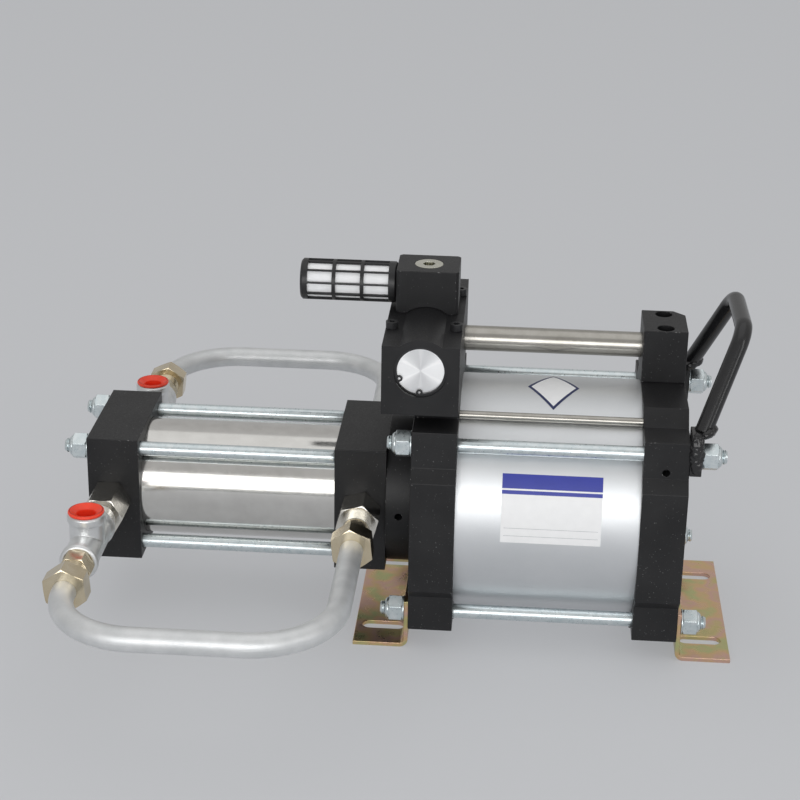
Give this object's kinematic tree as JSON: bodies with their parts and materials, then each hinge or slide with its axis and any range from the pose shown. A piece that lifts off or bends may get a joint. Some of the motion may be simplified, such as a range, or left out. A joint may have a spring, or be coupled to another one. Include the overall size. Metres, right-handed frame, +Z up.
{
  "type": "air pressure booster",
  "caption": "Air-driven piston booster: square-capped drive cylinder with cycle valve and silencer, driving a smaller gas cylinder with check valves, tees and looped pipes.",
  "frame": {"origin": "on the floor, at the centre of the four foot slots, under the middle of the drive cylinder", "axes": "+X along the piston rod towards the carrying handle, +Y towards the rear (outlet) side, +Z up"},
  "size_m": [0.4754, 0.504, 0.257],
  "materials": {
    "black_anodised": "satin black anodised",
    "barrel_silver": "satin clear anodised",
    "cylinder_steel": "ground and polished",
    "zinc": "bright blue-white zinc plate",
    "yellow_zinc": "yellow passivated zinc plate",
    "handle_paint": "black semi-gloss paint",
    "black_steel": "black oxide",
    "turned_aluminium": "fine turned",
    "port_plug": "pale yellow zinc plate",
    "silencer_plastic": "black moulded",
    "silencer_felt": "white sintered",
    "tube_steel": "brushed along its length",
    "plain_steel": "machined",
    "spring_steel": "drawn wire",
    "bronze": "turned bronze",
    "gasket_rubber": "matt",
    "fitting_steel": "bright nickel plate",
    "poppet_brass": "turned",
    "tee_casting": "matt zinc plated casting",
    "dust_plug_red": "moulded",
    "pipe_zinc": "yellow zinc plate",
    "pipe_steel": "dull grey zinc plate",
    "piston_aluminium": "turned",
    "rod_chrome": "hard chrome"
  },
  "bodies": {
    "frame": {"drive_cap_left": "black_anodised", "drive_cap_right": "black_anodised", "valve_body": "black_anodised", "exhaust_block": "black_anodised", "transfer_tower": "black_anodised", "spacer_flange": "black_anodised", "gas_head_left": "black_anodised", "gas_head_right": "black_anodised", "drive_barrel": "barrel_silver", "gas_cylinder": "cylinder_steel", "drive_tie_rods": "zinc", "drive_tie_washers": "zinc", "drive_tie_nuts": "zinc", "gas_tie_rods": "zinc", "gas_tie_washers": "zinc", "gas_tie_nuts": "zinc", "mounting_bracket_left": "yellow_zinc", "mounting_bracket_right": "yellow_zinc", "carry_handle": "handle_paint", "valve_screws": "black_steel", "valve_circlips": "black_steel", "tower_screws": "black_steel", "valve_end_discs": "turned_aluminium", "exhaust_port_plug": "port_plug", "silencer_cage": "silencer_plastic", "silencer_element": "silencer_felt", "transfer_tube": "tube_steel", "pilot_tube": "tube_steel", "pilot_plugs": "plain_steel", "pilot_spring_left": "spring_steel", "pilot_spring_right": "spring_steel", "inlet_spring_left": "spring_steel", "inlet_spring_right": "spring_steel", "outlet_spring_left": "spring_steel", "outlet_spring_right": "spring_steel", "valve_sleeve": "bronze", "rod_bushes": "bronze", "barrel_gaskets": "gasket_rubber", "cylinder_gaskets": "gasket_rubber", "check_valve_bodies": "fitting_steel", "inlet_tee": "tee_casting", "outlet_tee": "tee_casting", "port_dust_plugs": "dust_plug_red", "pipe_adaptors": "pipe_zinc", "pipe_nuts": "pipe_zinc", "inlet_pipe": "pipe_steel", "outlet_pipe": "pipe_steel"},
    "piston_assembly": {"drive_piston": "piston_aluminium", "drive_piston_seals": "gasket_rubber", "piston_rod": "rod_chrome", "gas_piston": "piston_aluminium", "gas_piston_seals": "gasket_rubber", "piston_nuts": "plain_steel"},
    "spool": {"valve_spool": "plain_steel"},
    "pilot_left": {"pilot_pin_left": "plain_steel"},
    "pilot_right": {"pilot_pin_right": "plain_steel"},
    "inlet_valve_left": {"inlet_poppet_left": "poppet_brass"},
    "inlet_valve_right": {"inlet_poppet_right": "poppet_brass"},
    "outlet_valve_left": {"outlet_poppet_left": "poppet_brass"},
    "outlet_valve_right": {"outlet_poppet_right": "poppet_brass"}
  },
  "joints": [
    {"name": "piston_stroke", "type": "slide", "parent": "frame", "child": "piston_assembly", "axis": [1, 0, 0], "range_m": [-0.0415, 0.0415]},
    {"name": "spool_shift", "type": "slide", "parent": "frame", "child": "spool", "axis": [0, 1, 0], "range_m": [0, 0.016]},
    {"name": "pilot_push_left", "type": "slide", "parent": "frame", "child": "pilot_left", "axis": [-1, 0, 0], "range_m": [0, 0.004], "stiffness_N_per_m": 700, "springref_m": -0.004, "deforming": ["pilot_spring_left"]},
    {"name": "pilot_push_right", "type": "slide", "parent": "frame", "child": "pilot_right", "axis": [1, 0, 0], "range_m": [0, 0.004], "stiffness_N_per_m": 700, "springref_m": -0.004, "deforming": ["pilot_spring_right"]},
    {"name": "inlet_lift_left", "type": "slide", "parent": "frame", "child": "inlet_valve_left", "axis": [0, 1, 0], "range_m": [0, 0.003], "stiffness_N_per_m": 300, "springref_m": -0.003, "deforming": ["inlet_spring_left"]},
    {"name": "inlet_lift_right", "type": "slide", "parent": "frame", "child": "inlet_valve_right", "axis": [0, 1, 0], "range_m": [0, 0.003], "stiffness_N_per_m": 300, "springref_m": -0.003, "deforming": ["inlet_spring_right"]},
    {"name": "outlet_lift_left", "type": "slide", "parent": "frame", "child": "outlet_valve_left", "axis": [0, 1, 0], "range_m": [0, 0.003], "stiffness_N_per_m": 300, "springref_m": -0.003, "deforming": ["outlet_spring_left"]},
    {"name": "outlet_lift_right", "type": "slide", "parent": "frame", "child": "outlet_valve_right", "axis": [0, 1, 0], "range_m": [0, 0.003], "stiffness_N_per_m": 300, "springref_m": -0.003, "deforming": ["outlet_spring_right"]}
  ]
}
